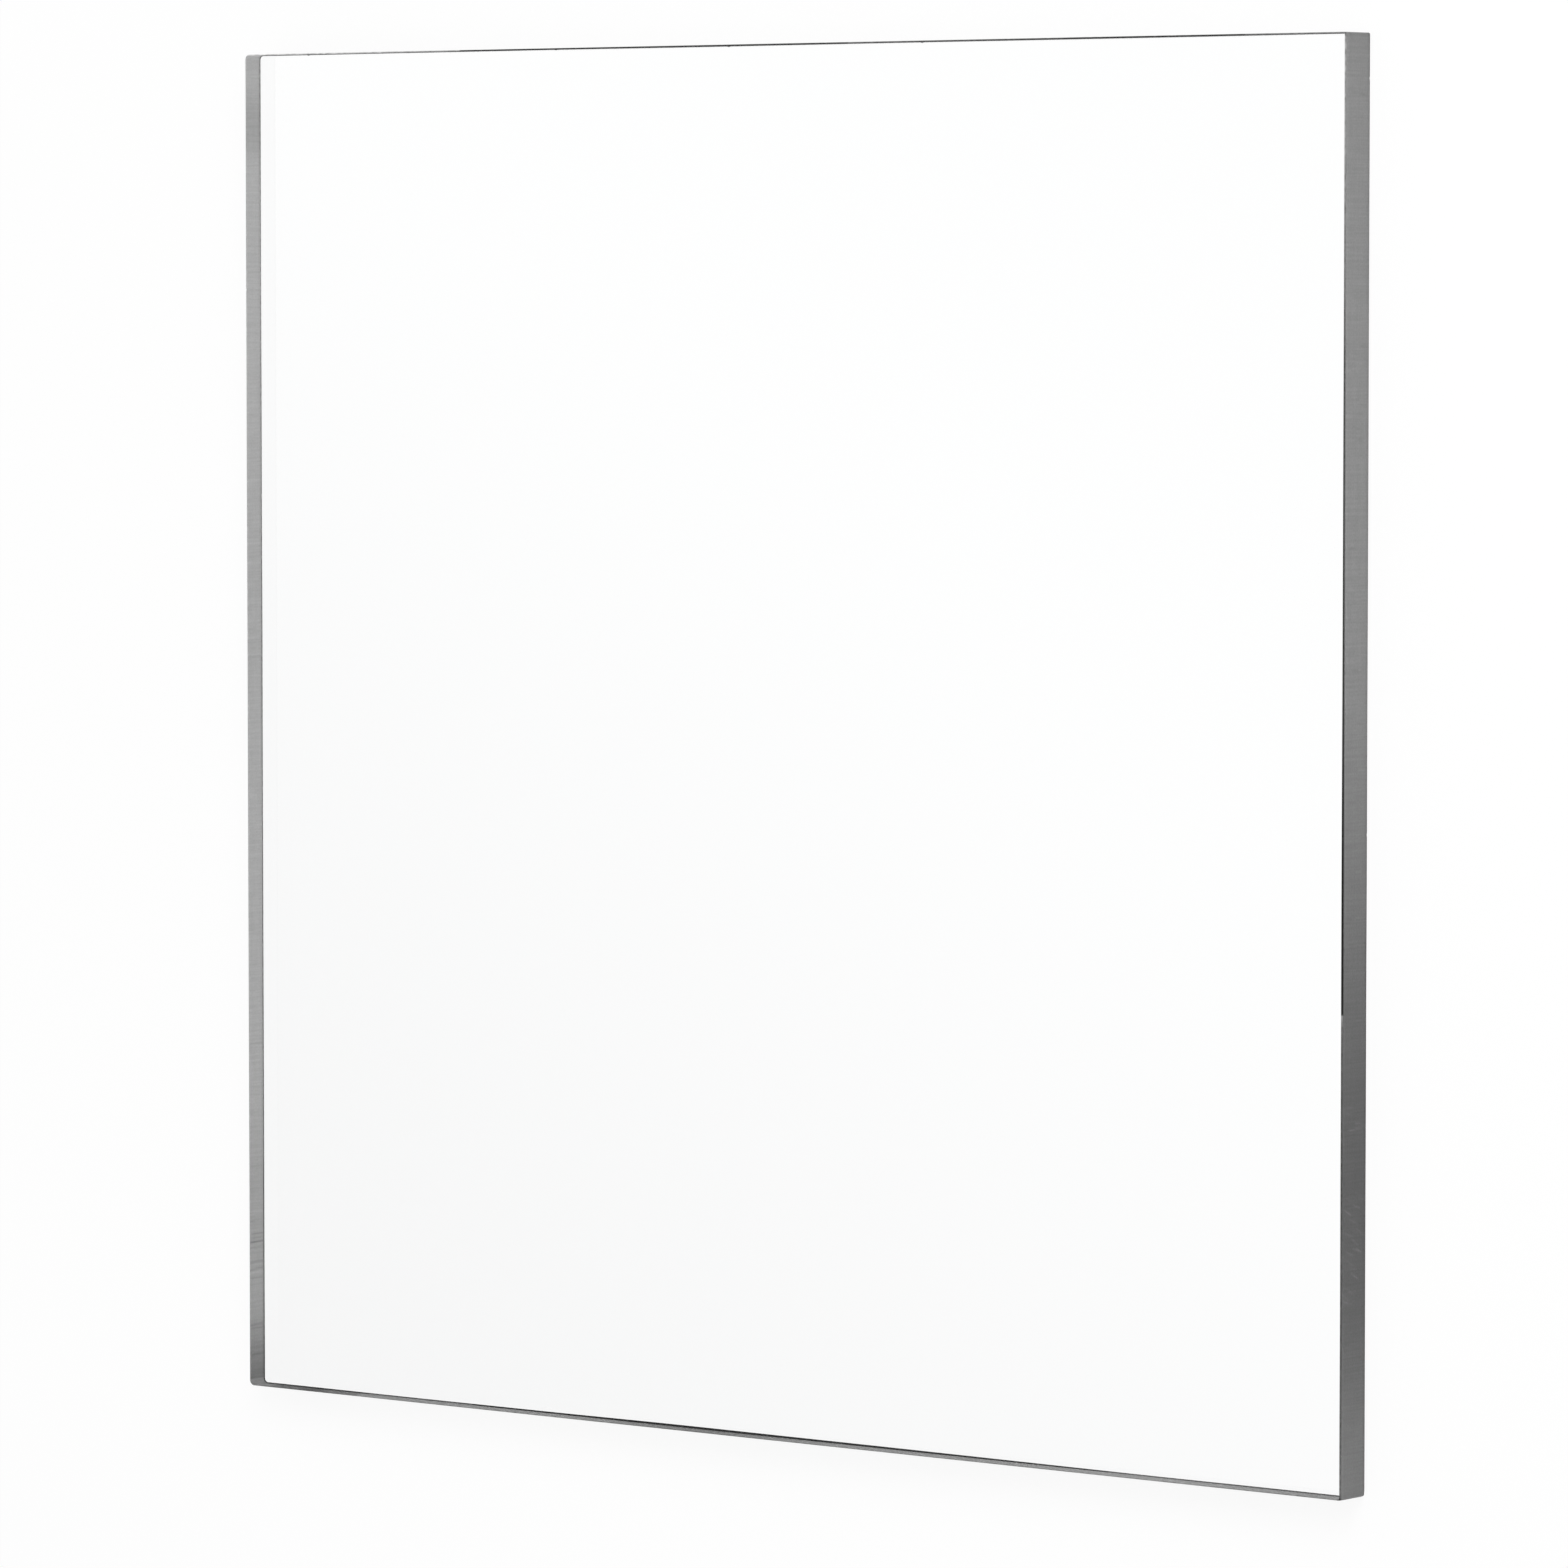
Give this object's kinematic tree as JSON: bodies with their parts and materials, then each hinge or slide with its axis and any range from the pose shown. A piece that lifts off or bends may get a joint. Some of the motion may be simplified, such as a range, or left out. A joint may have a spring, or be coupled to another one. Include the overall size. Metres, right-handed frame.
{
  "type": "clear acrylic sheet",
  "caption": "Flat square sheet of clear acrylic with polished faces, satin sawn edges, a narrow broken arris round both faces and two eased corners.",
  "frame": {"origin": "centre of the face the sheet lies on", "axes": "+X along the sheet's width, +Y along its length, +Z up through its thickness. The picture shows the +Z face, with +X to the right and +Y up."},
  "size_m": [0.3048, 0.3048, 0.009],
  "materials": {
    "clear_acrylic": "polished"
  },
  "bodies": {
    "root": {"acrylic_sheet": "clear_acrylic"}
  },
  "joints": []
}
